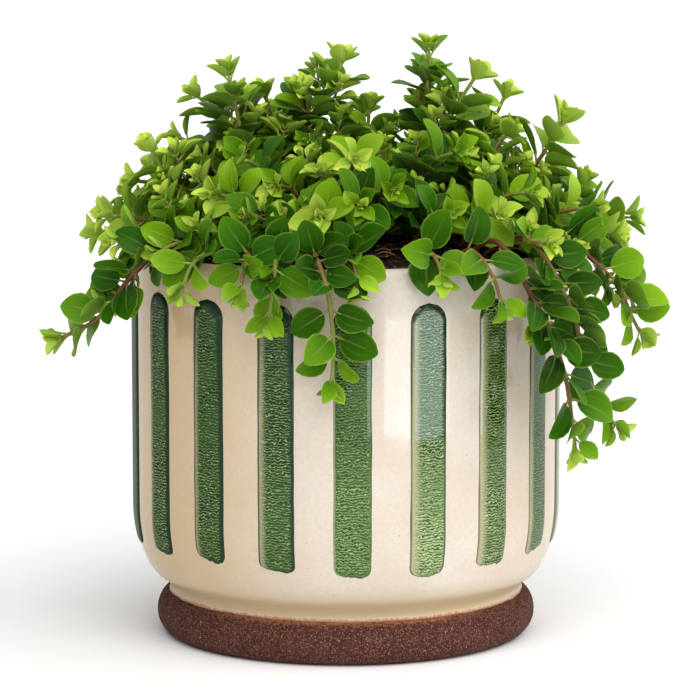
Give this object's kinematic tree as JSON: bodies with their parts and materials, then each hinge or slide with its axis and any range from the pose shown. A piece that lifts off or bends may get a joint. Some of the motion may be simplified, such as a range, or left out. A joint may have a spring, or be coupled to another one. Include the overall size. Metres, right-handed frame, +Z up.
{
  "type": "potted plant",
  "caption": "Trailing plant with small round fleshy leaves, rooted in soil in a round glazed pot with raised stripes and an unglazed flared foot.",
  "frame": {"origin": "middle of the foot's flat underside, on the surface that the pot stands on", "axes": "+Z up along the pot's axis, -Y toward the front, +X to the right seen from the front"},
  "size_m": [0.2159, 0.1894, 0.2106],
  "materials": {
    "glaze": "gloss",
    "stripe_glaze": "gloss",
    "stoneware": "matte",
    "soil": "matte",
    "leaf": "satin",
    "stem": "satin"
  },
  "bodies": {
    "root": {"pot": "glaze", "soil": "soil", "leafy_stem_01": "leaf", "leafy_stem_02": "leaf", "leafy_stem_03": "leaf", "leafy_stem_04": "leaf", "leafy_stem_05": "leaf", "leafy_stem_06": "leaf", "leafy_stem_07": "leaf", "leafy_stem_08": "leaf", "leafy_stem_09": "leaf", "leafy_stem_10": "leaf", "leafy_stem_11": "leaf", "leafy_stem_12": "leaf", "leafy_stem_13": "leaf", "leafy_stem_14": "leaf", "leafy_stem_15": "leaf", "leafy_stem_16": "leaf", "leafy_stem_17": "leaf", "leafy_stem_18": "leaf", "leafy_stem_19": "leaf", "leafy_stem_20": "leaf", "leafy_stem_21": "leaf", "leafy_stem_22": "leaf", "leafy_stem_23": "leaf", "leafy_stem_24": "leaf", "leafy_stem_25": "leaf", "leafy_stem_26": "leaf", "leafy_stem_27": "leaf", "leafy_stem_28": "leaf", "leafy_stem_29": "leaf", "leafy_stem_30": "leaf", "leafy_stem_31": "leaf", "leafy_stem_32": "leaf", "leafy_stem_33": "leaf", "leafy_stem_34": "leaf", "leafy_stem_35": "leaf", "leafy_stem_36": "leaf", "leafy_stem_37": "leaf", "leafy_stem_38": "leaf", "leafy_stem_39": "leaf", "leafy_stem_40": "leaf", "leafy_stem_41": "leaf", "leafy_stem_42": "leaf", "leafy_stem_43": "leaf", "leafy_stem_44": "leaf", "leafy_stem_45": "leaf", "leafy_stem_46": "leaf", "leafy_stem_47": "leaf", "leafy_stem_48": "leaf", "leafy_stem_49": "leaf", "leafy_stem_50": "leaf", "leafy_stem_51": "leaf", "leafy_stem_52": "leaf", "leafy_stem_53": "leaf", "leafy_stem_54": "leaf", "leafy_stem_55": "leaf", "leafy_stem_56": "leaf"}
  },
  "joints": []
}
